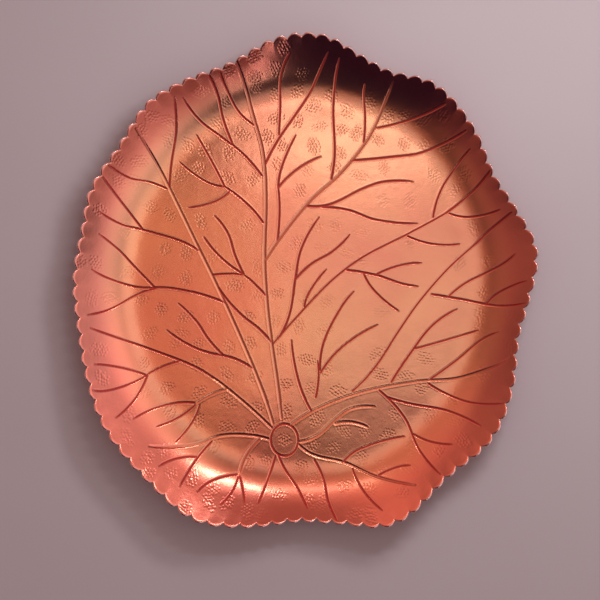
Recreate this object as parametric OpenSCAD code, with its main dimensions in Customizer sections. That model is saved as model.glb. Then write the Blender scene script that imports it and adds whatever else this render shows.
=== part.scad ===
// Hammered copper tray shaped like a lily pad.
// One raised copper sheet: a flat oval floor, a flaring wall cut to a wavy leaf outline, and a rim of
// small petals whose edge is turned down. A chased oval ring and the leaf's main veins run from it.
// The tray stands on z = 0, with the middle of its outline over the origin. Units are millimetres.

/* [Sheet] */
// Thickness of the copper sheet
sheet_t = 1.0; // [0.8:0.1:1.4]

/* [Floor] */
// Half width of the flat oval floor
floor_rx = 111; // [104:1:114]
// Half length of the flat oval floor
floor_ry = 121; // [112:1:124]
// Share of the outline's waviness that the floor's edge keeps
floor_follow = 0.15; // [0:0.05:0.3]

/* [Wall] */
// Width of the soft bend that rises from the floor
bend_w = 45; // [38:1:48]
// Steepest slope of the wall, as rise over run
wall_slope = 0.68; // [0.5:0.02:0.8]
// Height of the rim above the floor where the wall is as wide as wall_mid
rim_h = 18.7; // [15:0.1:22]
// How much higher the rim is for each millimetre that the wall is wider
rim_wave = 0.42; // [0.2:0.02:0.55]
// Middle width of the wall
wall_mid = 50; // [48:1:52]
// Distance from the floor at which the rim's waves begin
wave_start = 20; // [16:1:24]

/* [Rim petals] */
// Number of petals round the rim
petals = 95; // [80:1:110]
// How far the petals shift round the rim, in degrees: a swing that comes once in a turn
shift_once = 1.3; // [0:0.1:2]
// The same for a swing that comes twice in a turn
shift_twice = 2.4; // [0:0.1:3]
// Depth of the notch between two petals
petal_depth = 3.0; // [1.5:0.25:3.5]
// Distance from the edge over which the petals flatten into the wall
petal_fade = 7; // [5:0.5:9]
// How far the petal's edge is turned down
lip_drop = 1.6; // [1:0.1:2]
// Width of the turned-down lip
lip_w = 2.2; // [1.8:0.1:2.6]

/* [Chased lines] */
// Half width of the oval ring that the veins start from
hub_rx = 9.6; // [7:0.2:12]
// Half height of that oval ring
hub_ry = 11.3; // [8:0.2:13]
// Width of the chased lines
line_w = 2.0; // [1.4:0.1:2.4]
// Depth of the chased lines
line_depth = 0.45; // [0.25:0.05:0.5]

/* [Hidden] */

// Leaf outline: [angle in degrees, radius at the petals' tips]
outline = [
    [8, 165], [19, 158], [30, 154], [43, 162], [57, 167.5], [68, 161], [76, 165], [86, 175],
    [96, 174], [109, 164], [121, 166.5], [131, 169], [144, 163.5], [157, 165.5], [167, 162.5],
    [180, 164], [191, 164], [203, 168.5], [215, 175], [231, 179], [245, 185], [256, 178],
    [268, 169], [278, 172], [290, 181.5], [306, 170.5], [320, 172], [331, 166], [345, 156],
    [354, 158]
];

// Middle of the chased oval ring, and the main veins' runs over the flat floor
hub_at = [-15, -111.5];
veins = [
    [[-24, -103], [-40, -88], [-60, -71.5], [-79, -60], [-100, -50.5]],
    [[-23, -100], [-29, -82], [-41, -50], [-60, -9.5], [-74, 20], [-89, 51], [-96, 66]],
    [[-17, -98], [-20, -70], [-24, -42], [-28, -5], [-29, 25], [-28, 60], [-30, 93], [-33, 107]],
    [[-28, 16], [-14, 37], [4, 58], [20, 72], [39, 94], [48, 106]],
    [[-23, -44], [-10, -28], [17, 0], [40, 18], [70, 33], [97, 48]],
    [[33, -77], [49, -60], [66, -34], [80, -14], [106, 14]],
    [[-10, -100], [10, -88], [40, -78], [70, -71], [86, -69.5]],
    [[-5, -113], [8, -108], [21, -97], [32, -90], [49, -88]],
    [[-25, -42], [-38, -28], [-50, -19], [-62, -3]],
    [[-38, -60], [-60, -51.5], [-78, -47], [-96, -35]],
    [[-57, -14.5], [-76, -8], [-97, -4], [-108, -3.5]],
    [[-18.5, -38.5], [-9.6, -13], [-6, 16], [9.6, 46]]
];

// ---- smooth closed curve through the outline's knots ----
function knot(i) =
    let (turns = floor(i / len(outline)), k = outline[i - turns * len(outline)])
    [k[0] + 360 * turns, k[1]];
function knot_slope(i) = (knot(i + 1)[1] - knot(i - 1)[1]) / (knot(i + 1)[0] - knot(i - 1)[0]);
function knot_before(a, i = 0) = knot(i + 1)[0] > a ? i : knot_before(a, i + 1);
function outline_r(angle) =
    let (
        a = angle < outline[0][0] ? angle + 360 : angle,
        i = knot_before(a),
        span = knot(i + 1)[0] - knot(i)[0],
        u = (a - knot(i)[0]) / span
    )
    knot(i)[1] * (1 + 2 * u) * pow(1 - u, 2)
        + knot(i + 1)[1] * u * u * (3 - 2 * u)
        + knot_slope(i) * span * u * pow(1 - u, 2)
        - knot_slope(i + 1) * span * u * u * (1 - u);

// ---- rim petals: p counts petals round the rim, and its fraction is the place along one petal ----
function petal_angle(p) =
    let (even = 360 * p / petals)
    even + shift_once * cos(even) + shift_twice * sin(2 * even);
function notch_offset(p) =
    let (
        i = floor(p),
        half = outline_r(petal_angle(p)) * (petal_angle(i + 1) - petal_angle(i)) * PI / 360,
        arc_r = (half * half + petal_depth * petal_depth) / (2 * petal_depth),
        x = (2 * (p - i) - 1) * half
    )
    arc_r - sqrt(arc_r * arc_r - x * x);

// ---- profile of the wall, u millimetres out from the flat floor's edge ----
function oval_r(rx, ry, a) = 1 / sqrt(pow(cos(a) / rx, 2) + pow(sin(a) / ry, 2));
function floor_edge(a) =
    let (oval = oval_r(floor_rx, floor_ry, a))
    oval + floor_follow * (outline_r(a) - oval - wall_mid);
function plain_rise(u) =
    let (x = min(1, u / bend_w))
    wall_slope * (bend_w * (pow(x, 3) - pow(x, 4) / 2) + max(0, u - bend_w));
function plain_slope(u) = let (x = min(1, u / bend_w)) wall_slope * x * x * (3 - 2 * x);
// The rim's waves bend the outer wall up where it is narrow and down where it is wide
function wave_bend(a) =
    let (w = outline_r(a) - floor_edge(a))
    (rim_h + rim_wave * (w - wall_mid) - plain_rise(w)) / pow(w - wave_start, 2);
function slope_at(a, u) = plain_slope(u) + 2 * wave_bend(a) * max(0, u - wave_start);
function height_at(a, u) = sheet_t + plain_rise(u) + wave_bend(a) * pow(max(0, u - wave_start), 2);

// A point of the upper face: p is the place round the rim, d the distance in from the petals' edge
function rim_point(p, d, drop) =
    let (
        a = petal_angle(p),
        r = outline_r(a),
        fade = max(0, 1 - d / petal_fade),
        at = r - d - notch_offset(p) * fade,
        z = height_at(a, at - floor_edge(a)) - drop
    )
    [at * cos(a), at * sin(a), z];
// A point of the wall at the share s of its width, seen on the upper face (under 0) or below it (under 1)
function wall_point(p, s, under) =
    let (
        a = petal_angle(p),
        u = s * (outline_r(a) - petal_fade - floor_edge(a)),
        tilt = atan(slope_at(a, u)),
        at = floor_edge(a) + u + under * sheet_t * sin(tilt)
    )
    [at * cos(a), at * sin(a), height_at(a, u) - under * sheet_t * cos(tilt)];

// Points along one petal on the rim's rings; the wall's rings have half as many
per_petal = 4;
fine = per_petal * petals;
coarse = fine / 2;
function rim_ring(d, drop) = [for (i = [0:fine - 1]) rim_point(i / per_petal, d, drop)];
function wall_ring(s, under) = [for (i = [0:coarse - 1]) wall_point(2 * i / per_petal, s, under)];

// Where the wall's rings lie, as shares of its width
wall_steps = [0, 0.16, 0.34, 0.54, 0.76, 1];
// Section of the lip: [distance in from the petals' edge, drop below the wall's upper face]
lip_edge = 2;
lip_section = [
    [lip_w, 0], [0.3 * lip_w, 0.25 * lip_drop], [0, lip_drop],
    [0.45 * lip_w, 1.2 * lip_drop], [1.2 * lip_w, 1.1 * sheet_t]
];
// Rings of points from the floor's edge over the wall, round the lip and back below
top_wall = [for (s = wall_steps) wall_ring(s, 0)];
lip = [for (at = lip_section) rim_ring(at[0], at[1])];
low_wall = [for (i = [len(wall_steps) - 1:-1:0]) wall_ring(wall_steps[i], 1)];
rings = concat(top_wall, lip, low_wall);

function start_of(k) = k == 0 ? 0 : start_of(k - 1) + len(rings[k - 1]);
function even_strip(a, b, n) = [
    for (i = [0:n - 1]) let (j = (i + 1) % n)
        each [[a + i, b + i, a + j], [a + j, b + i, b + j]]
];
// Stitches a coarse ring that starts at point c to a ring with twice as many points that starts at f
function double_strip(c, f, outward) = [
    for (i = [0:coarse - 1])
        let (j = (i + 1) % coarse, m = f + 2 * i, e = f + (2 * i + 2) % fine)
        for (t = [[c + i, m, m + 1], [c + i, m + 1, c + j], [c + j, m + 1, e]])
            outward ? t : [t[0], t[2], t[1]]
];
function strip(k) =
    let (a = start_of(k), b = start_of(k + 1), na = len(rings[k]), nb = len(rings[k + 1]))
    na == nb ? even_strip(a, b, na) : na < nb ? double_strip(a, b, true) : double_strip(b, a, false);

point_count = start_of(len(rings) - 1) + coarse;
sheet_points = concat([for (ring = rings) each ring], [[0, 0, sheet_t], [0, 0, 0]]);
sheet_faces = concat(
    [for (i = [0:coarse - 1]) [point_count, i, (i + 1) % coarse]],
    [for (k = [0:len(rings) - 2]) each strip(k)],
    let (last = start_of(len(rings) - 1))
        [for (i = [0:coarse - 1]) [last + i, point_count + 1, last + (i + 1) % coarse]]
);

// Moves the middle of the outline box over the origin
edge_points = lip[lip_edge];
xs = [for (q = edge_points) q[0]];
ys = [for (q = edge_points) q[1]];
box_shift = -[max(xs) + min(xs), max(ys) + min(ys)] / 2;

// ---- chased lines ----
function curve_point(pts, i, u) =
    let (
        n = len(pts),
        a = pts[i], b = pts[i + 1],
        ta = (b - pts[max(0, i - 1)]) / 2,
        tb = (pts[min(n - 1, i + 2)] - a) / 2
    )
    a * (1 + 2 * u) * pow(1 - u, 2) + b * u * u * (3 - 2 * u)
        + ta * u * pow(1 - u, 2) - tb * u * u * (1 - u);
function curve(pts, steps) = concat(
    [for (i = [0:len(pts) - 2]) for (k = [0:steps - 1]) curve_point(pts, i, k / steps)],
    [pts[len(pts) - 1]]
);
function side(path, i) =
    let (d = path[min(len(path) - 1, i + 1)] - path[max(0, i - 1)])
    [-d[1], d[0]] / norm(d);
// A line that tapers at both ends: the share of its width at its ends, and how fast it widens from them
tip_share = 0.15;
taper_rate = 3;
curve_steps = 3;
module chased_line(pts) {
    path = curve(pts, curve_steps);
    last = len(path) - 1;
    half = [for (i = [0:last]) line_w / 2 * min(1, tip_share + taper_rate * min(i, last - i) / last)];
    linear_extrude(2 * line_depth)
        polygon(concat(
            [for (i = [0:last]) path[i] + half[i] * side(path, i)],
            [for (i = [last:-1:0]) path[i] - half[i] * side(path, i)]
        ));
}
function oval(rx, ry) = [for (a = [0:9:351]) [rx * cos(a), ry * sin(a)]];
module hub_line() {
    translate(hub_at)
        linear_extrude(2 * line_depth)
            difference() {
                polygon(oval(hub_rx + line_w / 2, hub_ry + line_w / 2));
                polygon(oval(hub_rx - line_w / 2, hub_ry - line_w / 2));
            }
}

module tray() {
    color([0.80, 0.42, 0.31])
        translate([box_shift[0], box_shift[1], 0])
            difference() {
                polyhedron(sheet_points, sheet_faces, convexity = 8);
                translate([0, 0, sheet_t - line_depth]) {
                    hub_line();
                    for (v = veins) chased_line(v);
                }
            }
}

tray();
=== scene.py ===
"""Looks of the hammered copper tray: one raised sheet like a lily pad, chased, punched and petalled."""

import bpy
import numpy as np
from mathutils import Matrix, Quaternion, Vector


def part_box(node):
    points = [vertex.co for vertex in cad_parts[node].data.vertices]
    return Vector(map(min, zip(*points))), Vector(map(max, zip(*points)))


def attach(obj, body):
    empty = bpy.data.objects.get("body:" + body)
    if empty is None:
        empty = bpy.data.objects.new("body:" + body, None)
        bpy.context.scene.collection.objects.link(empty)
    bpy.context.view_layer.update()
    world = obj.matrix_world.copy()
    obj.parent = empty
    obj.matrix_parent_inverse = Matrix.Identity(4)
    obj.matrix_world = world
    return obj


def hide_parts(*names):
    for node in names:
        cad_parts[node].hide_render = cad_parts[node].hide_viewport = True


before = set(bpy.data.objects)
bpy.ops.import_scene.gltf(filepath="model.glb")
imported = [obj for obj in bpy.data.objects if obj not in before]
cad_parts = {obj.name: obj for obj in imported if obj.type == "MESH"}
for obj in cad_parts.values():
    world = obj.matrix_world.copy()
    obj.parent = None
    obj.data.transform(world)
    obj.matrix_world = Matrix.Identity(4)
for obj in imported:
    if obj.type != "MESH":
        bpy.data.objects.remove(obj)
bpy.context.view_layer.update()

MM = 0.001

# ------------------------------------------------------------------ the sheet's own shape, in millimetres
SHEET_T = 0.8        # visible sheet between its raised lines
FLOOR_TOP = 1.05     # height of the floor's upper face
FLOOR_RX, FLOOR_RY = 111.0, 121.0   # half width and half length of the flat oval floor
FLOOR_FOLLOW = 0.15  # share of the outline's waviness that the floor's edge keeps
BEND_W = 45.0        # width of the soft bend that rises from the floor
WALL_SLOPE = 0.68    # steepest slope of the wall, as rise over run
RIM_H = 18.6         # height of the rim above the floor where the wall is WALL_MID wide
RIM_WAVE = 0.42      # how much higher the rim is per millimetre that the wall is wider
WALL_MID = 50.0      # middle width of the wall
WAVE_START = 20.0    # distance from the floor at which the rim's waves begin
MID_R = 167.0        # middle radius of the outline
PETAL_DEPTH = 3.0    # notch between two petals
PETAL_FADE = 7.0     # distance from the edge over which a petal flattens into the wall
PETAL_DOME = 0.35    # height of a petal's dome
LIP_W = 2.2          # width of the turned-down lip

# Leaf outline: (angle in degrees, radius at the petals' tips)
OUTLINE = [
    (8, 165), (19, 158), (30, 154), (43, 162), (57, 167.5), (68, 161), (76, 165), (86, 175),
    (96, 174), (109, 164), (121, 166.5), (131, 169), (144, 163.5), (157, 165.5), (167, 162.5),
    (180, 164), (191, 164), (203, 168.5), (215, 175), (231, 179), (245, 185), (256, 178),
    (268, 169), (278, 172), (290, 181.5), (306, 170.5), (320, 172), (331, 166), (345, 156),
    (354, 158),
]
PETALS = 95
SHIFT_ONCE = 1.3      # how far the petals shift round the rim, in degrees, once in a turn
SHIFT_TWICE = 2.4     # and twice in a turn

# ------------------------------------------------------------------ chased lines, in millimetres
HUB_AT = (-15, -111.5)        # middle of the oval ring where the veins meet
HUB_RX, HUB_RY = 9.6, 11.3    # its half width and half length
HUB_LINE_W = 1.4              # width of the ring's line
HUB_STAMPS = 260              # stamps of the chasing tool round the ring
HUB_REACH = 3.2               # distance from that line that a stamp covers
DEEP_W, MAIN_W, BRANCH_W, TWIG_W, FINE_W = 2.1, 1.85, 1.5, 1.35, 1.2   # widths of the veins by rank
LINE_DEPTH = 0.52             # depth of a line as wide as MAIN_W
LEAST_DEPTH, WIDTH_DEPTH = 0.55, 0.45   # share of that depth that is fixed, and that grows with the width
WIDE_STAIN = 0.25             # patina left in the wide lines, as a share of the narrow ones'
PATH_STEP = 0.35              # distance between two stamps of the chasing tool

# Taper of a line: share of its full size at an end, and how fast it grows to full along the line
ROOT_SHARE, ROOT_RATE = 0.8, 4
TIP_SHARE, TIP_RATE = 0.5, 6
TAPER_W = 0.45                # share of the width that the taper takes away
SHRINK_W = 0.12               # share of the width lost evenly from root to tip

# Profile of a line, in half widths out from its middle: a flat-bottomed cut and a low burr beside it
CUT_REACH, CUT_FLATNESS, CUT_SOFTNESS = 1.05, 3.2, 1.35
SHOULDER_H, SHOULDER_AT, SHOULDER_W = 0.15, 1.45, 0.42
LINE_REACH = 3.2              # half widths that a stamp covers
CLEAR_OF_LINE = 1.9           # half widths from a line within which no pit is punched

# Every vein: (width, points from its root to its tip). Branches follow the vein that they leave.
VEINS = [
    (FINE_W, [(-23.5, -44), (-10, -28.5), (17, 0), (40, 17.5), (70, 33), (101, 50), (111, 58)]),
    (BRANCH_W, [(99, 48.8), (111, 58), (120, 66), (130, 78.5)]),
    (FINE_W, [(33, -77), (49, -60), (66, -34), (80, -14), (100, 9), (122, 29), (130, 36.5)]),
    (BRANCH_W, [(120, 27), (130, 36.5), (145, 49)]),
    (MAIN_W, [(-24, -103), (-40, -88), (-60, -71.5), (-70, -65)]),
    (BRANCH_W, [(-66, -67.5), (-80, -59), (-111, -47), (-130, -40), (-151, -32)]),
    (TWIG_W, [(-90, -56), (-102, -60), (-112, -65)]),
    (TWIG_W, [(-113, -65.5), (-126, -61), (-140, -58), (-148, -57.5)]),
    (TWIG_W, [(-112, -65.5), (-125, -72), (-140, -76), (-149, -75.5)]),
    (TWIG_W, [(-112, -66), (-118, -79), (-125, -88), (-133, -95)]),
    (MAIN_W, [(-56, -75.5), (-68, -80), (-78, -86)]),
    (TWIG_W, [(-78, -85.5), (-92, -85.5), (-107, -89), (-121, -96)]),
    (BRANCH_W, [(-78, -86.5), (-90, -95.5), (-105, -101.5)]),
    (TWIG_W, [(-75, -87), (-81, -100), (-92, -113)]),
    (MAIN_W, [(-23, -100), (-28.5, -82), (-37, -60), (-50, -30), (-64.5, 1.5), (-77, 27), (-93, 60),
              (-103, 80), (-119, 108)]),
    (BRANCH_W, [(-38, -60.5), (-52, -53.5), (-70, -49.5), (-85, -43), (-98, -34)]),
    (TWIG_W, [(-59, -51), (-69, -40), (-77, -28), (-90, -15)]),
    (BRANCH_W, [(-57, -14.5), (-76, -8), (-97, -4), (-119, -3.5), (-138, 2.5), (-150, 9)]),
    (TWIG_W, [(-107, -3.5), (-121, 11), (-132, 23), (-145, 34)]),
    (TWIG_W, [(-106, -4.5), (-119, -8.5), (-138, -19), (-153, -23)]),
    (BRANCH_W, [(-76, 22.5), (-88, 29), (-115, 37), (-130, 41), (-145, 50)]),
    (TWIG_W, [(-115, 37), (-126, 51.5), (-142, 74)]),
    (TWIG_W, [(-98, 66), (-111, 71), (-124, 73.5), (-138, 82.5)]),
    (TWIG_W, [(-96.5, 67), (-95, 84), (-91.5, 107), (-92, 130)]),
    (TWIG_W, [(-66, 5), (-52, 6), (-44.5, 5)]),
    (MAIN_W, [(-17, -96), (-20, -70), (-24, -42), (-27, -17), (-29, 15), (-28, 60), (-30, 92),
              (-37, 118), (-44.5, 145), (-49, 156)]),
    (BRANCH_W, [(-24.5, -42), (-33, -33), (-45, -23.5), (-55, -13), (-62, -3)]),
    (TWIG_W, [(-28.5, -9), (-38.5, 1), (-43.5, 5)]),
    (BRANCH_W, [(-44, 6), (-50, 19), (-55, 34.5), (-64.5, 47)]),
    (BRANCH_W, [(-44.5, 6), (-60, 17.5), (-72, 32)]),
    (BRANCH_W, [(-30, 42), (-40, 54), (-57, 67.5)]),
    (TWIG_W, [(-57, 67.5), (-70, 71), (-89, 85)]),
    (TWIG_W, [(-57.5, 68), (-64, 81), (-77, 104)]),
    (TWIG_W, [(-54, 64), (-64.5, 57), (-83, 52.5)]),
    (BRANCH_W, [(-31, 75.5), (-44.5, 91), (-60, 103), (-75, 114.5), (-86, 129.5)]),
    (BRANCH_W, [(-52, 98.5), (-58.5, 116), (-62.5, 134), (-69, 147)]),
    (TWIG_W, [(-36.5, 111), (-48, 121.5), (-56, 137), (-60, 147.5)]),
    (BRANCH_W, [(-28.5, 84), (-20, 100), (-8, 117.5), (3, 134), (10.5, 150), (16, 162)]),
    (TWIG_W, [(-19, 104.5), (-18, 124), (-17.5, 145), (-11, 161.5)]),
    (MAIN_W, [(-28.5, 16), (-14, 37), (4, 58.5), (24.5, 77), (45, 103), (57.5, 131), (61.5, 141.5)]),
    (TWIG_W, [(-20, 30), (-18.5, 51), (-19.5, 67)]),
    (TWIG_W, [(-19.5, 67), (-17, 81.5), (-7, 104)]),
    (TWIG_W, [(-19.5, 67), (-6, 80), (11, 89)]),
    (BRANCH_W, [(0.5, 54), (17, 55), (40, 66), (55, 71), (76, 71)]),
    (BRANCH_W, [(12, 53), (30, 51), (50, 44), (79, 41.5)]),
    (BRANCH_W, [(18, 73), (20.5, 91), (19.5, 121), (21, 143), (24, 158)]),
    (BRANCH_W, [(32, 86), (60, 88.5), (83, 92), (113, 106.5)]),
    (TWIG_W, [(41, 99), (42, 115), (41, 133), (42, 140)]),
    (TWIG_W, [(50, 109), (68, 113), (83, 118), (98.5, 125.5)]),
    (BRANCH_W, [(-18.5, -38.5), (-11, -21), (-7.5, 2), (-3, 24), (9.5, 46)]),
    (BRANCH_W, [(-7, 2.5), (4, 13), (18.5, 21.5), (31, 33.5)]),
    (TWIG_W, [(-1, -17), (3, -6), (14.5, 9)]),
    (TWIG_W, [(72, 32.5), (90, 27), (109, 27)]),
    (BRANCH_W, [(29, 8.5), (50, 5), (68, -1), (79.5, -3)]),
    (TWIG_W, [(50, 5.5), (67, 12), (82, 13.5)]),
    (TWIG_W, [(41, 6), (49, -6.5), (66, -20.5)]),
    (TWIG_W, [(90, 46), (96, 66), (108, 84), (116, 93.5)]),
    (TWIG_W, [(101.5, 48.5), (117, 46), (137, 51)]),
    (BRANCH_W, [(89, -8.5), (110, -12), (135, -16.5), (154.5, -14.5)]),
    (TWIG_W, [(101.5, -9.5), (114, 0), (137, 11.5), (147.5, 20)]),
    (TWIG_W, [(127, -16), (137, -7), (155, 1)]),
    (MAIN_W, [(-10, -100.5), (10, -88.5), (40, -77.5), (79, -70), (106, -68), (131, -60), (144, -53)]),
    (BRANCH_W, [(60.5, -70.5), (73, -51.5), (89, -31), (107, -19)]),
    (TWIG_W, [(77, -47), (95, -42), (122, -34)]),
    (TWIG_W, [(88, -68.5), (106, -55.5), (123, -41.5), (136, -35)]),
    (TWIG_W, [(86.5, -71.5), (103, -80.5), (118, -85), (139, -85)]),
    (BRANCH_W, [(4, -91), (-5, -70), (-10, -41)]),
    (TWIG_W, [(7, -81.5), (9, -68), (8.5, -56)]),
    (BRANCH_W, [(10, -62), (13, -41.5), (24.5, -18.5), (34, -6.5)]),
    (TWIG_W, [(10.5, -64), (26, -45.5), (51, -30)]),
    (MAIN_W, [(-5.5, -114), (5.5, -122), (28, -127.5), (50, -137), (77, -142.5)]),
    (TWIG_W, [(26, -127.5), (39, -117.5), (70, -109)]),
    (TWIG_W, [(33, -131.5), (41, -147), (54, -160)]),
    (TWIG_W, [(51.5, -136), (64, -130.5), (74, -129)]),
    (MAIN_W, [(-26, -111), (-41.5, -108), (-60, -108.5), (-76, -114), (-93, -116), (-110, -115)]),
    (BRANCH_W, [(-66.5, -112.5), (-78.5, -127), (-88, -143)]),
    (TWIG_W, [(-77, -123), (-91.5, -124), (-103, -129)]),
    (BRANCH_W, [(52, -76.5), (70, -96), (80, -118), (94.5, -135)]),
    (BRANCH_W, [(58, -81.5), (74, -86), (101, -91), (123, -101)]),
    (TWIG_W, [(76.5, -107.5), (88.5, -112.5), (103, -114)]),
    (MAIN_W, [(-5.5, -113), (8, -108.5), (21, -97), (32, -89.5), (49, -88)]),
    (DEEP_W, [(21, -100), (32, -99), (44, -102.5)]),
    (BRANCH_W, [(-19.5, -121.5), (-15, -131.5), (-6, -144.5), (1.5, -159)]),
    (BRANCH_W, [(6, -125.5), (12.5, -138.5), (16, -154), (22, -167)]),
    (BRANCH_W, [(-21.5, -123), (-25.5, -136), (-33.5, -155.5)]),
    (DEEP_W, [(-33, -111), (-42, -122), (-47, -135.5)]),
    (BRANCH_W, [(-48, -135.5), (-66, -139.5), (-76, -147)]),
    (TWIG_W, [(-47.5, -137), (-52, -147.5), (-60, -156)]),
    (TWIG_W, [(-46.5, -137), (-43.5, -149), (-43, -155)]),
]

# Places of the punch clusters, each a patch of pits about 12 mm long
CLUSTERS = [
    (-74, 134), (-108, 116), (-95, 114), (-115, 106), (-97, 101), (-83, 97), (-132, 86), (-117, 85),
    (-75, 81), (-88, 76), (-131, 71), (-120, 71), (-61, 113), (-71, 93), (-54, 149), (-36, 159),
    (-36, 145), (-35, 138), (-21, 151), (-15, 165), (-21, 133), (-6, 135), (-2, 147), (17, 147),
    (18, 132), (-21, 116), (-6, 115), (10, 111), (25, 108), (36, 106), (51, 101), (6, 96), (25, 91),
    (-17, 97), (-27, 103), (-45, 105), (-20, 83), (1, 79), (21, 81), (-37, 73), (-55, 74), (-54, 92),
    (-4, 65), (38, 75), (56, 81), (-57, 128), (5, 125), (29, 121), (45, 127), (58, 117), (46, 136),
    (70, 117), (83, 115), (97, 118), (70, 98), (84, 96), (100, 96), (91, 76), (113, 76), (106, 65),
    (-128, 57), (-145, 51), (-109, 53), (-96, 48), (-74, 43), (-127, 37), (-99, 24), (-84, 22),
    (-158, 15), (-147, 14), (-126, 7), (-105, 7), (-85, 3), (-65, 19), (-150, -11), (-138, -11),
    (-116, -12), (-102, -19), (-85, -24), (-65, -25), (-110, -36), (-88, -36), (-145, -47),
    (-92, -43), (-75, -44), (-115, -57), (-77, -58), (-41, 41), (-6, 28), (6, 40), (21, 40),
    (40, 36), (40, 15), (11, 24), (28, 21), (-15, 11), (-34, 10), (-50, -2), (-20, -8), (-33, -9),
    (-1, -11), (15, -14), (-41, -24), (-23, -28), (-5, -31), (14, -34), (-54, -46), (-40, -43),
    (-18, -48), (1, -55), (51, -51), (55, 58), (55, -21), (74, 57), (118, 38), (151, 36), (131, 15),
    (109, 14), (125, -7), (123, -23), (121, -31), (85, -54), (145, -45), (141, -23), (73, 27),
    (-143, -67), (-98, -75), (-75, -78), (-96, -91), (-76, -97), (-125, -109), (-111, -123),
    (-100, -118), (-95, -134), (-111, -134), (-84, -158), (-68, -155), (-124, -93), (-80, -137),
    (-65, -114), (-66, -144), (-116, -78), (-55, -65), (-36, -67), (-15, -73), (4, -75), (23, -77),
    (-54, -84), (-35, -89), (-14, -93), (8, -96), (-55, -103), (-38, -104), (-15, -111), (5, -115),
    (20, -117), (27, -104), (42, -104), (-41, -127), (-27, -127), (-3, -130), (40, -124), (5, -138),
    (28, -143), (-18, -150), (3, -155), (12, -156), (-55, -155), (-41, -161), (-30, -164),
    (44, -145), (36, -163), (46, -164), (54, -129), (58, -108), (15, -62), (52, -65), (82, -75),
    (104, -84), (88, -94), (105, -98), (111, -111), (93, -117), (75, -115), (73, -131), (68, -147),
    (63, -93), (125, -65), (71, -67),
]
CLUSTER_LONG, CLUSTER_SHORT = (5.4, 7.0), (3.9, 5.0)   # least and most half length and half width
CLUSTER_TURN = 0.5     # most turn of the rows of pits, in radians
BLOW = (0.65, 1.1)     # least and most strength of a blow
PIT_ROWS = 5           # rows of pits on each side of the middle one
PIT_PITCH = 2.1        # distance between two pits of a row
ROW_PITCH = 0.87       # distance between rows, as a share of PIT_PITCH
PIT_STRAY = 0.26       # how far a pit strays from its row
PIT_R = 0.9            # radius of a pit
PIT_DEPTH = 0.135      # depth of a pit on the floor
PIT_FADE = 0.45        # share of its depth that a pit loses at the patch's edge
PIT_ON_WALL = 0.4      # how much deeper, as a share, a pit is on the wall
BURR_H, BURR_AT, BURR_W = 0.15, 1.12, 0.22   # burr round a pit, in depths and radii
PIT_REACH = 1.6        # radii that the stamp of a pit covers

# ------------------------------------------------------------------ planishing and the back, in millimetres
WALL_FROM, WALL_RUN = 118, 30    # radius at which the floor's finish starts to turn into the wall's
SWELL, WALL_SWELL, SWELL_LUMP = 0.04, 0.03, 16   # planishing marks: height, more on the wall, size
FINE_SWELL, FINE_LUMP = 0.006, 6
EDGE_CLEAR, EDGE_FADE = 0.5, 3   # plain strip at the edge, and the width over which the relief fades in
BACK_LINE, BACK_PIT = 0.45, 0.3  # share of a line's and a pit's depth that shows raised on the back
BACK_MOST = 0.25                 # most that the back is raised
RIDGE_FULL = 0.12                # burr that counts as a full ridge for the material


# ------------------------------------------------------------------ outline and dish
def outline_radius(angle):
    """Radius of the leaf outline at the petals' tips, for angles in degrees."""
    knots = np.array(OUTLINE, float)
    a = np.concatenate([knots[:, 0] - 360, knots[:, 0], knots[:, 0] + 360])
    r = np.tile(knots[:, 1], 3)
    slope = np.gradient(r, a)
    slope[1:-1] = (r[2:] - r[:-2]) / (a[2:] - a[:-2])
    angle = np.mod(angle, 360)
    i = np.clip(np.searchsorted(a, angle, side="right") - 1, 0, len(a) - 2)
    span = a[i + 1] - a[i]
    u = (angle - a[i]) / span
    return (r[i] * (1 + 2 * u) * (1 - u) ** 2 + r[i + 1] * u * u * (3 - 2 * u)
            + slope[i] * span * u * (1 - u) ** 2 - slope[i + 1] * span * u * u * (1 - u))


def petal_angle(p):
    """Angle in degrees at place p round the rim, where whole numbers are the notches between petals."""
    even = 360 * p / PETALS
    return even + SHIFT_ONCE * np.cos(np.radians(even)) + SHIFT_TWICE * np.sin(np.radians(2 * even))


def notch_offset(p, r):
    """How far the petals' edge lies inside the outline; p counts petals round the rim."""
    i = np.minimum(np.floor(p), PETALS - 1)
    half = r * np.radians(petal_angle(i + 1) - petal_angle(i)) / 2
    arc_r = (half ** 2 + PETAL_DEPTH ** 2) / (2 * PETAL_DEPTH)
    x = (2 * (p - i) - 1) * half
    return arc_r - np.sqrt(arc_r ** 2 - x ** 2)


def floor_edge(angle, r_edge):
    """Radius of the flat floor, for angles in degrees where the outline's radius is r_edge."""
    a = np.radians(angle)
    oval = 1 / np.hypot(np.cos(a) / FLOOR_RX, np.sin(a) / FLOOR_RY)
    return oval + FLOOR_FOLLOW * (r_edge - oval - WALL_MID)


def plain_rise(u):
    """Rise of the wall at u out from the floor's edge, before the rim's waves."""
    x = np.minimum(1, u / BEND_W)
    return WALL_SLOPE * (BEND_W * (x ** 3 - x ** 4 / 2) + np.maximum(0, u - BEND_W))


def dish_height(angle, r_edge, r):
    """Height of the sheet's upper face at radius r where the outline's radius is r_edge."""
    edge = floor_edge(angle, r_edge)
    width = r_edge - edge
    waves = (RIM_H + RIM_WAVE * (width - WALL_MID) - plain_rise(width)) / (width - WAVE_START) ** 2
    u = np.maximum(0, r - edge)
    return FLOOR_TOP + plain_rise(u) + waves * np.maximum(0, u - WAVE_START) ** 2


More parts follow.
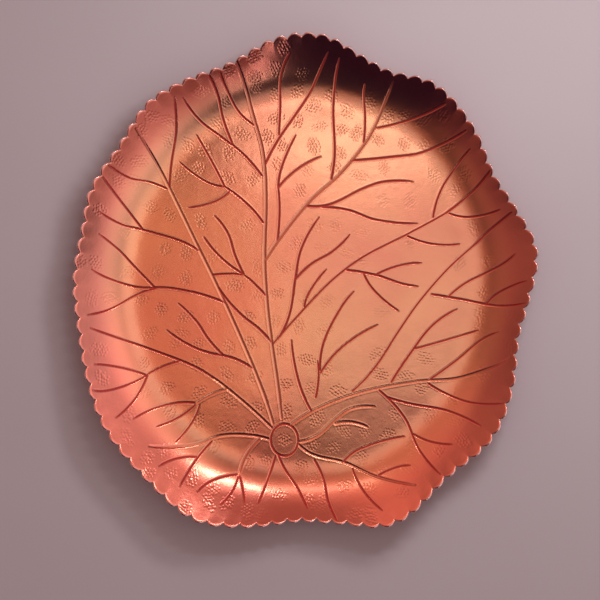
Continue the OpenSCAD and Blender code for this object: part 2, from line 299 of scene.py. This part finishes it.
# ------------------------------------------------------------------ relief: a height map over the plan
CELL = 0.25          # size of one square of the grid
HALF = 192.0         # the grid runs from -HALF to HALF both ways
SIDE = int(2 * HALF / CELL) + 1
FAR = 9.0            # stands for a place that no line reaches, in half widths
NOISE_GAIN = 1.6     # brings the smoothed random values back to about one in height


def smooth_curve(points, step):
    """Points about `step` apart along a smooth curve through the given points."""
    pts = np.array(points, float)
    t = np.concatenate([[0], np.cumsum(np.linalg.norm(np.diff(pts, axis=0), axis=1))])
    slope = np.zeros_like(pts)
    slope[1:-1] = (pts[2:] - pts[:-2]) / (t[2:] - t[:-2])[:, None]
    slope[0] = 2 * (pts[1] - pts[0]) / (t[1] - t[0]) - slope[1] if len(pts) > 2 else pts[1] - pts[0]
    slope[-1] = 2 * (pts[-1] - pts[-2]) / (t[-1] - t[-2]) - slope[-2] if len(pts) > 2 else slope[0]
    s = np.linspace(0, t[-1], max(8, int(t[-1] / step)))
    i = np.clip(np.searchsorted(t, s, side="right") - 1, 0, len(t) - 2)
    span = (t[i + 1] - t[i])[:, None]
    u = ((s - t[i]) / (t[i + 1] - t[i]))[:, None]
    return (pts[i] * (1 + 2 * u) * (1 - u) ** 2 + pts[i + 1] * u * u * (3 - 2 * u)
            + slope[i] * span * u * (1 - u) ** 2 - slope[i + 1] * span * u * u * (1 - u))


class Relief:
    """Chased lines and punch marks, held on a fine square grid over the tray's plan."""

    def __init__(self):
        self.line_q = np.full((SIDE, SIDE), FAR, np.float32)
        self.line_depth = np.zeros((SIDE, SIDE), np.float32)
        self.line_stain = np.ones((SIDE, SIDE), np.float32)
        self.pit = np.zeros((SIDE, SIDE), np.float32)

    def window(self, x, y, reach):
        """Part of the grid within `reach` of a place, and the distance of each of its points."""
        i0 = max(0, int((y - reach + HALF) / CELL))
        i1 = min(SIDE, int((y + reach + HALF) / CELL) + 2)
        j0 = max(0, int((x - reach + HALF) / CELL))
        j1 = min(SIDE, int((x + reach + HALF) / CELL) + 2)
        yy = np.arange(i0, i1)[:, None] * CELL - HALF - y
        xx = np.arange(j0, j1)[None, :] * CELL - HALF - x
        return (slice(i0, i1), slice(j0, j1)), np.sqrt(xx * xx + yy * yy)

    def line(self, path, width, depth, stain):
        """Cuts a chased line whose width and depth taper towards its tip; `stain` is how dark it is."""
        n = len(path)
        for k, (x, y) in enumerate(path):
            s = k / (n - 1)
            taper = min(1.0, ROOT_SHARE + ROOT_RATE * s) * min(1.0, TIP_SHARE + TIP_RATE * (1 - s))
            half = width / 2 * (1 - TAPER_W + TAPER_W * taper) * (1 - SHRINK_W * s)
            at, d = self.window(x, y, LINE_REACH * half)
            q = d / half
            near = q < self.line_q[at]
            self.line_q[at][near] = q[near]
            self.line_depth[at][near] = depth * taper
            self.line_stain[at][near] = stain

    def punch(self, x, y, radius, depth):
        """Sinks one round pit with a low burr round it."""
        at, d = self.window(x, y, PIT_REACH * radius)
        q = d / radius
        dent = -depth * np.clip(1 - q * q, 0, None) ** 2
        burr = BURR_H * depth * np.exp(-((q - BURR_AT) / BURR_W) ** 2)
        self.pit[at] = np.where(q < 1, np.minimum(self.pit[at], dent), np.maximum(self.pit[at], burr)
                                * (self.pit[at] >= 0) + self.pit[at] * (self.pit[at] < 0))

    def clear_of_lines(self, x, y):
        """Whether a place lies away from every chased line."""
        return self.line_q[int((y + HALF) / CELL), int((x + HALF) / CELL)] > CLEAR_OF_LINE

    def line_height(self):
        """Height that the chased lines and their burrs add to the sheet."""
        q = self.line_q
        cut = np.clip(1 - (q / CUT_REACH) ** CUT_FLATNESS, 0, None) ** CUT_SOFTNESS
        shoulder = SHOULDER_H * np.exp(-((q - SHOULDER_AT) / SHOULDER_W) ** 2)
        return self.line_depth * (shoulder - cut)


def chase_lines(relief):
    """The oval ring first, which keeps one depth all round, and then the veins."""
    turn = np.linspace(0, 2 * np.pi, HUB_STAMPS)
    hub = np.stack([HUB_AT[0] + HUB_RX * np.cos(turn), HUB_AT[1] + HUB_RY * np.sin(turn)], axis=1)
    for x, y in hub:
        at, d = relief.window(x, y, HUB_REACH)
        q = d / (HUB_LINE_W / 2)
        near = q < relief.line_q[at]
        relief.line_q[at][near] = q[near]
        relief.line_depth[at][near] = LINE_DEPTH
    for width, points in VEINS:
        depth = LINE_DEPTH * (LEAST_DEPTH + WIDTH_DEPTH * width / MAIN_W)
        stain = WIDE_STAIN if width >= MAIN_W else 1
        relief.line(smooth_curve(points, PATH_STEP), width, depth, stain)


def punch_clusters(relief, rng):
    """Each blow of the patterned punch leaves a small leaf-shaped patch of pits."""
    for cx, cy in CLUSTERS:
        turn = rng.uniform(-CLUSTER_TURN, CLUSTER_TURN)
        long_r = rng.uniform(*CLUSTER_LONG)
        short_r = rng.uniform(*CLUSTER_SHORT)
        lean = rng.uniform(0, np.pi)
        blow = rng.uniform(*BLOW)
        for i in range(-PIT_ROWS, PIT_ROWS + 1):
            for j in range(-PIT_ROWS, PIT_ROWS + 1):
                u = (i + 0.5 * (j % 2)) * PIT_PITCH
                v = j * PIT_PITCH * ROW_PITCH
                x = u * np.cos(turn) - v * np.sin(turn) + rng.normal(0, PIT_STRAY)
                y = u * np.sin(turn) + v * np.cos(turn) + rng.normal(0, PIT_STRAY)
                a = x * np.cos(lean) + y * np.sin(lean)
                b = -x * np.sin(lean) + y * np.cos(lean)
                inside = (a / long_r) ** 2 + (b / short_r) ** 2
                if inside < 1 and relief.clear_of_lines(cx + x, cy + y):
                    depth = PIT_DEPTH * blow * (1 - PIT_FADE * inside)
                    relief.punch(cx + x, cy + y, PIT_R, depth)


def soft_noise(rng, spacing, x, y):
    """Smooth random values of about one in height, with lumps about `spacing` across."""
    n = int(2 * HALF / spacing) + 4
    grid = rng.normal(0, 1, (n, n))
    u = (x + HALF) / spacing + 1
    v = (y + HALF) / spacing + 1
    i, j = np.floor(v).astype(int), np.floor(u).astype(int)
    fu, fv = u - j, v - i

    def weights(f):
        return ((1 - f) ** 3 / 6, (3 * f ** 3 - 6 * f ** 2 + 4) / 6,
                (-3 * f ** 3 + 3 * f ** 2 + 3 * f + 1) / 6, f ** 3 / 6)

    total = np.zeros_like(x)
    for dv, wv in zip((-1, 0, 1, 2), weights(fv)):
        for du, wu in zip((-1, 0, 1, 2), weights(fu)):
            total += wv * wu * grid[np.clip(i + dv, 0, n - 1), np.clip(j + du, 0, n - 1)]
    return total * NOISE_GAIN


def sample(field, x, y):
    """Bilinear reading of a field of the relief grid at plan positions."""
    u = np.clip((x + HALF) / CELL, 0, SIDE - 1.001)
    v = np.clip((y + HALF) / CELL, 0, SIDE - 1.001)
    i, j = v.astype(int), u.astype(int)
    fu, fv = u - j, v - i
    return ((field[i, j] * (1 - fu) + field[i, j + 1] * fu) * (1 - fv)
            + (field[i + 1, j] * (1 - fu) + field[i + 1, j + 1] * fu) * fv)


# ------------------------------------------------------------------ the sheet as one closed mesh
COLUMNS = PETALS * 20    # points round the rim
TOP_STEP = 0.55          # distance between rings on the upper face
BACK_STEP = 1.5          # distance between rings on the back
BACK_INSET = 5.0         # how far inside the edge the back's first ring lies
# Where the ring of columns thins out towards the middle: (share of the outline's radius, divisor)
THIN_OUT = [(0.50, 2), (0.25, 4), (0.07, 20)]


def divisor_at(f):
    """How many times fewer points a ring has at share f of the outline's radius."""
    divisor = 1
    for share, k in THIN_OUT:
        if f < share:
            divisor = k
    return divisor


class Rings:
    """Rings of points round the tray, listed in order over the sheet's section."""

    def __init__(self):
        self.f, self.d, self.drop, self.under, self.div = [], [], [], [], []

    def add(self, f, d, drop, under, div):
        self.f.append(f)
        self.d.append(d)
        self.drop.append(drop)
        self.under.append(under)
        self.div.append(div)


POLISH_AND_HIGHLIGHT_W = 1.8       # width of the polished lip, which is also painted paler as a highlight
# Section of the lip: (distance in from the edge, drop below the wall's line, 1 on the back)
LIP = [
    (1.7, 0.06, 0), (1.25, 0.2, 0), (0.85, 0.42, 0), (0.5, 0.72, 0), (0.22, 1.1, 0), (0.05, 1.5, 0),
    (0.0, 1.85, 0), (0.12, 2.15, 0), (0.38, 2.28, 0), (0.65, 2.12, 0), (0.85, 1.75, 0),
    (1.15, 1.35, 0), (1.6, 1.05, 0), (2.2, 0.9, 0), (3.0, 0.86, 0),
]


def build_rings():
    """Rings from the middle of the upper face out, over the lip and back in to the middle below."""
    rings = Rings()
    inner = MID_R - LIP_W
    count = int(inner / TOP_STEP)
    for k in range(1, count + 1):
        f = k / count
        rings.add(f, LIP_W * f, 0, 0, divisor_at(f))
    for d, drop, under in LIP:
        rings.add(1, d, drop, under, 1)
    back = int((MID_R - BACK_INSET) / BACK_STEP)
    for k in range(back, 0, -1):
        f = k / back
        rings.add(f, BACK_INSET * f, 0, 1, max(2, divisor_at(f)))
    return rings


def ring_points(rings, k):
    """Points of ring k, before the sheet's thickness and its relief are added."""
    n = COLUMNS // rings.div[k]
    p = np.arange(n) * PETALS / n
    a = petal_angle(p)
    r_edge = outline_radius(a)
    f, d = rings.f[k], rings.d[k]
    inset = (1 - f) * r_edge + d
    fade = np.clip(1 - inset / PETAL_FADE, 0, 1)
    fade = fade * fade * (3 - 2 * fade) if rings.drop[k] == 0 else np.clip(1 - inset / PETAL_FADE, 0, 1)
    r = r_edge - inset - notch_offset(p, r_edge) * fade
    z = dish_height(a, r_edge, r) - rings.drop[k]
    along = p - np.floor(p)
    dome = PETAL_DOME * np.sin(np.pi * along) * np.clip(1 - inset / (2 * PETAL_FADE), 0, 1) ** 2
    a = np.radians(a)
    return r * np.cos(a), r * np.sin(a), z + dome


def stitch(a, na, b, nb):
    """Faces between the ring that starts at a and the one at b, which may have a multiple of its points."""
    if na == nb:
        i = np.arange(na)
        j = (i + 1) % na
        return [], np.stack([a + i, b + i, b + j, a + j], axis=1)
    few, many = (a, b) if na < nb else (b, a)
    n_few, n_many = min(na, nb), max(na, nb)
    k = n_many // n_few
    faces = []
    for i in range(n_few):
        j = (i + 1) % n_few
        middle = k // 2
        for m in range(k):
            u, v = many + (k * i + m) % n_many, many + (k * i + m + 1) % n_many
            faces.append((few + (i if m < middle + k % 2 else j), u, v))
            if m == middle - 1 + k % 2:
                faces.append((few + i, v, few + j))
    if na > nb:
        faces = [(t[0], t[2], t[1]) for t in faces]
    return faces, np.zeros((0, 4), int)


def surface_normals(points, tris, quads):
    """Area-weighted normal of every point of a mesh."""
    normals = np.zeros_like(points)
    for corners in (tris, quads):
        if len(corners) == 0:
            continue
        c = np.asarray(corners)
        if c.shape[1] == 3:
            n = np.cross(points[c[:, 1]] - points[c[:, 0]], points[c[:, 2]] - points[c[:, 0]])
        else:
            n = np.cross(points[c[:, 2]] - points[c[:, 0]], points[c[:, 3]] - points[c[:, 1]])
        for k in range(c.shape[1]):
            for axis in range(3):
                normals[:, axis] += np.bincount(c[:, k], n[:, axis], len(points))
    return normals / np.maximum(np.linalg.norm(normals, axis=1), 1e-12)[:, None]


def tray_shape():
    """Points, faces and surface marks of the finished sheet, in millimetres."""
    rng = np.random.default_rng(11)
    relief = Relief()
    chase_lines(relief)
    punch_clusters(relief, rng)
    lines = relief.line_height()

    rings = build_rings()
    starts, counts, xs, ys, zs, unders, polish_and_highlights = [], [], [], [], [], [], []
    total = 0
    for k in range(len(rings.f)):
        x, y, z = ring_points(rings, k)
        starts.append(total)
        counts.append(len(x))
        total += len(x)
        xs.append(x)
        ys.append(y)
        zs.append(z)
        unders.append(np.full(len(x), rings.under[k]))
        on_lip = rings.f[k] == 1
        # the lip's polish, painted paler to stand for the highlight along its edge
        polish_and_highlights.append(np.full(len(x), on_lip * max(0, 1 - rings.d[k] / POLISH_AND_HIGHLIGHT_W)))
    top_mid, back_mid = total, total + 1
    points = np.stack([np.concatenate(xs + [[0, 0]]), np.concatenate(ys + [[0, 0]]),
                       np.concatenate(zs + [[FLOOR_TOP, FLOOR_TOP]])], axis=1)
    under = np.concatenate(unders + [[0, 1]])

    tris, quads = [], []
    n = counts[0]
    tris += [(top_mid, i, (i + 1) % n) for i in range(n)]
    for k in range(len(starts) - 1):
        t, q = stitch(starts[k], counts[k], starts[k + 1], counts[k + 1])
        tris += t
        if len(q):
            quads.append(q)
    last, n = starts[-1], counts[-1]
    tris += [(last + i, back_mid, last + (i + 1) % n) for i in range(n)]
    tris = np.array(tris)
    quads = np.concatenate(quads)

    normals = surface_normals(points, tris, quads)
    on_back = under > 0
    # a back point starts on the upper face, so its normal points down and out of the sheet's underside
    points[on_back] += SHEET_T * normals[on_back]
    x, y = points[:, 0], points[:, 1]
    line, pit = sample(lines, x, y), sample(relief.pit, x, y)
    stain = sample(relief.line_stain, x, y)
    radius = np.hypot(x, y)
    wall = np.clip((radius - WALL_FROM) / WALL_RUN, 0, 1)
    pit = pit * (1 + PIT_ON_WALL * wall)
    swell = (SWELL + WALL_SWELL * wall) * soft_noise(rng, SWELL_LUMP, x, y)
    swell += FINE_SWELL * soft_noise(rng, FINE_LUMP, x, y)
    to_edge = outline_radius(np.degrees(np.arctan2(y, x))) - radius
    edge_fade = np.clip((to_edge - EDGE_CLEAR) / EDGE_FADE, 0, 1)
    rise = (line + pit) * edge_fade + swell
    back_rise = np.clip(-BACK_LINE * line - BACK_PIT * pit, 0, BACK_MOST)
    points += np.where(on_back, back_rise, rise)[:, None] * normals
    marks = {
        "groove": np.where(on_back, 0, stain * np.clip(-line / LINE_DEPTH, 0, 1)) * edge_fade,
        "pit": np.where(on_back, 0, np.clip(-pit / (2 * PIT_DEPTH), 0, 1)) * edge_fade,
        "ridge": np.where(on_back, back_rise / BACK_MOST, np.clip(line / RIDGE_FULL, 0, 1)),
        "polish_and_highlight": np.concatenate(polish_and_highlights + [[0, 0]]),
        "back": under.astype(float),
    }
    # the origin is the middle of the sheet's box in plan, as in the CAD model
    edge = points[~on_back]
    shift = (edge.max(axis=0) + edge.min(axis=0)) / 2
    points[:, 0] -= shift[0]
    points[:, 1] -= shift[1]
    return points, tris, quads, marks


def build_tray():
    """The sheet as a Blender object, in metres."""
    points, tris, quads, marks = tray_shape()
    mesh = bpy.data.meshes.new("tray_sheet")
    mesh.vertices.add(len(points))
    mesh.vertices.foreach_set("co", (points * MM).astype(np.float32).ravel())
    loops = np.concatenate([tris.ravel(), quads.ravel()])
    starts = np.concatenate([np.arange(len(tris)) * 3, len(tris) * 3 + np.arange(len(quads)) * 4])
    mesh.loops.add(len(loops))
    mesh.loops.foreach_set("vertex_index", loops.astype(np.int32))
    mesh.polygons.add(len(starts))
    mesh.polygons.foreach_set("loop_start", starts.astype(np.int32))
    mesh.update(calc_edges=True)
    mesh.validate()
    mesh.shade_smooth()
    for name, values in marks.items():
        layer = mesh.attributes.new(name, "FLOAT", "POINT")
        layer.data.foreach_set("value", values.astype(np.float32))
    add_bake_map(mesh, points, marks["back"])
    tray = bpy.data.objects.new("tray_sheet", mesh)
    bpy.context.scene.collection.objects.link(tray)
    return tray


TOP_SHARE = 0.71     # part of the texture square that the upper face takes
BAKE_GAP = 0.005     # empty strip beside each face in that square
BAKE_MARGIN = 1.02   # the square's side, in widths of the sheet


def add_bake_map(mesh, points, back):
    """Flat map of the sheet: the upper face seen from above, the back in the corner that is left."""
    uv = mesh.uv_layers.new(name="OFBake")
    index = np.zeros(len(mesh.loops), np.int32)
    mesh.loops.foreach_get("vertex_index", index)
    loop_total = np.zeros(len(mesh.polygons), np.int32)
    mesh.polygons.foreach_get("loop_total", loop_total)
    face_of_loop = np.repeat(np.arange(len(mesh.polygons)), loop_total)
    face_back = np.bincount(face_of_loop, back[index], len(mesh.polygons)) > 0.5
    span = np.ptp(points[:, :2], axis=0).max() * BAKE_MARGIN
    flat = points[index, :2] / span + 0.5
    is_back = face_back[face_of_loop]
    low = TOP_SHARE + BAKE_GAP
    back_places = low + flat * (1 - BAKE_GAP - low)
    places = np.where(is_back[:, None], back_places, flat * (TOP_SHARE - BAKE_GAP))
    uv.data.foreach_set("uv", places.astype(np.float32).ravel())


# ------------------------------------------------------------------ materials
def new_material(name):
    material = bpy.data.materials.new(name)
    material.use_nodes = True
    nodes, links = material.node_tree.nodes, material.node_tree.links
    return material, nodes, links, nodes["Principled BSDF"]


def noise(nodes, links, coords, scale, detail=3.0, roughness=0.5):
    """Solid noise fixed to the object; a larger scale gives finer lumps."""
    texture = nodes.new("ShaderNodeTexNoise")
    texture.inputs["Scale"].default_value = scale
    texture.inputs["Detail"].default_value = detail
    texture.inputs["Roughness"].default_value = roughness
    links.new(coords, texture.inputs["Vector"])
    return texture.outputs["Fac"]


def remap(nodes, links, value, low, high, to_low, to_high):
    """Value carried from the range low..high to the range to_low..to_high, and held at its ends."""
    node = nodes.new("ShaderNodeMapRange")
    for name, number in (("From Min", low), ("From Max", high), ("To Min", to_low), ("To Max", to_high)):
        node.inputs[name].default_value = number
    links.new(value, node.inputs["Value"])
    return node.outputs["Result"]


def mix_colour(nodes, links, factor, first, second, blend="MIX"):
    node = nodes.new("ShaderNodeMix")
    node.data_type = "RGBA"
    node.blend_type = blend
    for socket, value in ((node.inputs["Factor"], factor), (node.inputs[6], first), (node.inputs[7], second)):
        if isinstance(value, bpy.types.NodeSocket):
            links.new(value, socket)
        else:
            socket.default_value = value
    return node.outputs[2]


def add_math(nodes, links, operation, first, second):
    node = nodes.new("ShaderNodeMath")
    node.operation = operation
    for socket, value in zip(node.inputs, (first, second)):
        if isinstance(value, bpy.types.NodeSocket):
            links.new(value, socket)
        else:
            socket.default_value = value
    return node.outputs[0]


def attribute(nodes, name):
    """One of the surface marks that tray_shape gives to every point."""
    node = nodes.new("ShaderNodeAttribute")
    node.attribute_name = name
    return node.outputs["Fac"]


COPPER = (0.84, 0.295, 0.155, 1)
COPPER_WARM = (0.86, 0.34, 0.165, 1)
COPPER_ROSE = (0.82, 0.25, 0.145, 1)
PAINTED_WALL_REFLECTION = (0.83, 0.19, 0.14, 1)       # painted reflection: redder colour on the wall and the rim, standing for the dark red that they reflect
COPPER_RIDGE = (0.95, 0.55, 0.38, 1)     # burrs beside the lines, rubbed bright
PATINA = (0.58, 0.05, 0.045, 1)          # in the lines and the pits
POLISH_AND_HIGHLIGHT = (0.97, 0.72, 0.66, 1)         # on the lip: polish, and a painted highlight along the petals' edges
BACK_PATINA = (0.42, 0.13, 0.085, 1)
WALL_REFLECTION_FROM, WALL_REFLECTION_TO = 0.0015, 0.010   # heights, in metres, between which the painted wall reflection comes in
WALL_REFLECTION_MOST = 0.75                # most of the painted wall reflection
GROOVE_PATINA, PIT_PATINA = 0.92, 0.06   # most patina in a line and in a pit
SMOOTH, ROUGH = 0.18, 0.23     # range of the metal's roughness
PATINA_ROUGH = 0.45            # more of it where patina is full
BACK_ROUGH = 0.08              # and on the back
BUMP_STRENGTH, BUMP_DISTANCE = 0.10, 0.0006
FLOOR_DARK, FLOOR_PALE = (0.57, 0.43, 0.42, 1), (0.59, 0.45, 0.44, 1)


def copper_material():
    material, nodes, links, shader = new_material("hammered_copper")
    coords = nodes.new("ShaderNodeTexCoord").outputs["Object"]
    groove, pit = attribute(nodes, "groove"), attribute(nodes, "pit")
    ridge, back, polish_and_highlight = (attribute(nodes, name) for name in ("ridge", "back", "polish_and_highlight"))

    tone = remap(nodes, links, noise(nodes, links, coords, 9, 3), 0.35, 0.65, 0, 1)
    colour = mix_colour(nodes, links, tone, COPPER_ROSE, COPPER_WARM)
    blotch = remap(nodes, links, noise(nodes, links, coords, 38, 5, 0.6), 0.4, 0.7, 0, 0.5)
    colour = mix_colour(nodes, links, blotch, colour, COPPER)
    split = nodes.new("ShaderNodeSeparateXYZ")
    links.new(coords, split.inputs["Vector"])
    # painted reflection: the wall and the rim are painted redder with height, standing for the dark red that
    # they reflect
    painted_reflection_share = remap(nodes, links, split.outputs["Z"], WALL_REFLECTION_FROM, WALL_REFLECTION_TO, 0, WALL_REFLECTION_MOST)
    colour = mix_colour(nodes, links, painted_reflection_share, colour, PAINTED_WALL_REFLECTION)
    haze = remap(nodes, links, noise(nodes, links, coords, 60, 6, 0.65), 0.45, 0.75, 0, 0.55)
    colour = mix_colour(nodes, links, add_math(nodes, links, "MULTIPLY", haze, back), colour, BACK_PATINA)
    dirt = remap(nodes, links, groove, 0.05, 0.5, 0, GROOVE_PATINA)
    stain = add_math(nodes, links, "ADD", dirt, remap(nodes, links, pit, 0.2, 1.0, 0, PIT_PATINA))
    colour = mix_colour(nodes, links, stain, colour, PATINA)
    colour = mix_colour(nodes, links, remap(nodes, links, ridge, 0.2, 1, 0, 0.25), colour, COPPER_RIDGE)
    # painted highlight: the lip is painted pale as well as polished
    colour = mix_colour(nodes, links, remap(nodes, links, polish_and_highlight, 0.1, 0.8, 0, 0.8), colour, POLISH_AND_HIGHLIGHT)
    links.new(colour, shader.inputs["Base Color"])

    shader.inputs["Metallic"].default_value = 1.0
    grain = noise(nodes, links, coords, 420, 4, 0.6)
    rough = remap(nodes, links, noise(nodes, links, coords, 24, 4, 0.6), 0.35, 0.7, SMOOTH, ROUGH)
    rough = add_math(nodes, links, "ADD", rough, add_math(nodes, links, "MULTIPLY", dirt, PATINA_ROUGH))
    rough = add_math(nodes, links, "ADD", rough, remap(nodes, links, back, 0, 1, 0, BACK_ROUGH))
    links.new(rough, shader.inputs["Roughness"])

    dent = noise(nodes, links, coords, 150, 2, 0.5)
    height = add_math(nodes, links, "ADD", add_math(nodes, links, "MULTIPLY", grain, 0.25), dent)
    bump = nodes.new("ShaderNodeBump")
    bump.inputs["Strength"].default_value = BUMP_STRENGTH
    bump.inputs["Distance"].default_value = BUMP_DISTANCE
    links.new(height, bump.inputs["Height"])
    links.new(bump.outputs["Normal"], shader.inputs["Normal"])
    return material


def floor_material():
    material, nodes, links, shader = new_material("studio_floor")
    coords = nodes.new("ShaderNodeTexCoord").outputs["Object"]
    mottle = remap(nodes, links, noise(nodes, links, coords, 6, 3), 0.3, 0.7, 0, 1)
    colour = mix_colour(nodes, links, mottle, FLOOR_DARK, FLOOR_PALE)
    links.new(colour, shader.inputs["Base Color"])
    shader.inputs["Roughness"].default_value = 0.8
    shader.inputs["Specular IOR Level"].default_value = 0.2
    return material


# ------------------------------------------------------------------ studio, in metres
FLOOR_HALF = 6.0      # half the side of the studio's floor
FLOOR_GAP = 0.0002    # how far it lies below the tray


def build_floor():
    mesh = bpy.data.meshes.new("studio_floor")
    corners = [(i * FLOOR_HALF, j * FLOOR_HALF, 0) for i, j in ((-1, -1), (1, -1), (1, 1), (-1, 1))]
    mesh.from_pydata(corners, [], [(0, 1, 2, 3)])
    floor = bpy.data.objects.new("studio_floor", mesh)
    floor.location.z = -FLOOR_GAP
    floor.data.materials.append(floor_material())
    bpy.context.scene.collection.objects.link(floor)


def direction(azimuth, polar):
    """Unit vector at an azimuth from +X and an angle down from straight up, both in degrees."""
    a, p = np.radians(azimuth), np.radians(polar)
    return np.array([np.sin(p) * np.cos(a), np.sin(p) * np.sin(a), np.cos(p)])


def area_light(name, azimuth, polar, distance, width, height, power, colour, turn=0, spread=180, down=False):
    """Rectangular light that faces the tray's middle, or straight down, turned about its own axis.

    Angles are in degrees, the distance and the two sides in metres and the power in watts.
    """
    data = bpy.data.lights.new(name, "AREA")
    data.shape = "RECTANGLE"
    data.size, data.size_y = width, height
    data.energy = power
    data.color = colour
    light = bpy.data.objects.new(name, data)
    place = direction(azimuth, polar) * distance
    light.location = place
    data.spread = np.radians(spread)
    facing = Vector((0, 0, -1) if down else -place).to_track_quat("-Z", "Y")
    light.rotation_euler = (facing @ Quaternion((0, 0, 1), np.radians(turn))).to_euler()
    bpy.context.scene.collection.objects.link(light)
    return light


# Light colours: daylight, a tungsten lamp, and the dark that is left between the patches
DAYLIGHT, TUNGSTEN = (0.88, 1.0, 1.10), (1.0, 0.60, 0.48)
ROOM_DARK = (0.020, 0.014, 0.040)

# Soft patches of the studio's walls and ceiling: (azimuth, polar angle, half angle, level, colour).
# The last one lights the back from below.
PATCHES = [
    (0, 16, 10, 0.22, TUNGSTEN),
    (135, 5, 10, 0.16, TUNGSTEN),
    (0, 36, 28, 0.66, DAYLIGHT),
    (324, 48, 20, 0.46, DAYLIGHT),
    (118, 38, 24, 0.55, TUNGSTEN),
    (180, 35, 30, 0.12, TUNGSTEN),
    (20, 60, 26, 0.45, DAYLIGHT),
    (0, 85, 15, 0.30, TUNGSTEN),
    (40, 42, 22, 0.45, TUNGSTEN),
    (90, 65, 35, 0.38, TUNGSTEN),
    (180, 65, 35, 0.22, TUNGSTEN),
    (315, 62, 25, 0.22, TUNGSTEN),
    (135, 75, 22, 0.25, TUNGSTEN),
    (0, 180, 60, 0.35, DAYLIGHT),
]
PATCH_RIM, PATCH_CORE = 1.35, 0.25   # half angles at which a patch begins and is full
AMBIENT = (0.31, 0.25, 0.255)        # even light on the floor, which the metal doesn't show
BACKDROP = (0.50, 0.41, 0.40)        # what the camera sees beyond the floor


def build_world():
    world = bpy.data.worlds.new("studio")
    bpy.context.scene.world = world
    world.use_nodes = True
    nodes, links = world.node_tree.nodes, world.node_tree.links
    nodes.clear()
    out = nodes.new("ShaderNodeOutputWorld")
    coords = nodes.new("ShaderNodeTexCoord").outputs["Generated"]
    total = (*ROOM_DARK, 1)
    for azimuth, polar, half, level, painted_reflection_share in PATCHES:
        dot = nodes.new("ShaderNodeVectorMath")
        dot.operation = "DOT_PRODUCT"
        dot.inputs[1].default_value = direction(azimuth, polar)
        links.new(coords, dot.inputs[0])
        lobe = nodes.new("ShaderNodeMapRange")
        lobe.interpolation_type = "SMOOTHERSTEP"
        lobe.inputs["From Min"].default_value = np.cos(np.radians(half * PATCH_RIM))
        lobe.inputs["From Max"].default_value = np.cos(np.radians(half * PATCH_CORE))
        links.new(dot.outputs["Value"], lobe.inputs["Value"])
        colour = (*[level * c for c in painted_reflection_share], 1)
        glow = mix_colour(nodes, links, lobe.outputs["Result"], (0, 0, 0, 1), colour)
        total = mix_colour(nodes, links, 1.0, total, glow, "ADD")
    ray = nodes.new("ShaderNodeLightPath")
    shown = mix_colour(nodes, links, ray.outputs["Is Diffuse Ray"], total, (*AMBIENT, 1))
    shown = mix_colour(nodes, links, ray.outputs["Is Camera Ray"], shown, (*BACKDROP, 1))
    background = nodes.new("ShaderNodeBackground")
    links.new(shown, background.inputs["Color"])
    links.new(background.outputs["Background"], out.inputs["Surface"])


def build_lights():
    area_light("key_softbox", 66, 41, 1.5, 0.50, 0.08, 2.6, DAYLIGHT, turn=16)
    area_light("key_wing", 98, 36, 1.5, 0.45, 0.16, 0.36, DAYLIGHT, turn=8)
    area_light("overhead_softbox", 72, 12.5, 0.64, 0.18, 0.085, 0.0070, DAYLIGHT, spread=42, down=True)
    area_light("side_softbox", -14, 7, 0.64, 0.23, 0.18, 0.012, DAYLIGHT, spread=60, down=True)
    area_light("left_softbox", 188, 11, 0.64, 0.20, 0.22, 0.009, TUNGSTEN, spread=60, down=True)
    area_light("low_strip", -70, 50, 1.6, 0.06, 0.80, 0.50, DAYLIGHT)
    wash = area_light("floor_wash", 50, 50, 0.70, 0.30, 0.10, 1.95, DAYLIGHT)
    wash.visible_glossy = False    # brightens the floor and doesn't show in the metal


VIEW_CENTRE = (-0.0038, -0.0140)     # place on the floor under the camera
VIEW_WIDTH = 0.420                   # width of the view at the rim's height
CAMERA_ABOVE_RIM = 2.4
SENSOR = 36.0                        # in millimetres
CLIP_END = 30


def build_camera():
    data = bpy.data.cameras.new("camera")
    data.sensor_width = SENSOR
    data.lens = SENSOR * CAMERA_ABOVE_RIM / VIEW_WIDTH
    data.clip_end = CLIP_END
    camera = bpy.data.objects.new("camera", data)
    camera.location = (VIEW_CENTRE[0], VIEW_CENTRE[1], CAMERA_ABOVE_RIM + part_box("tray")[1].z)
    bpy.context.scene.collection.objects.link(camera)
    bpy.context.scene.camera = camera


build_camera()
tray = build_tray()
tray.data.materials.append(copper_material())
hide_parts("tray")
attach(tray, "root")
build_floor()
build_world()
build_lights()
bpy.context.scene.view_settings.view_transform = "Standard"
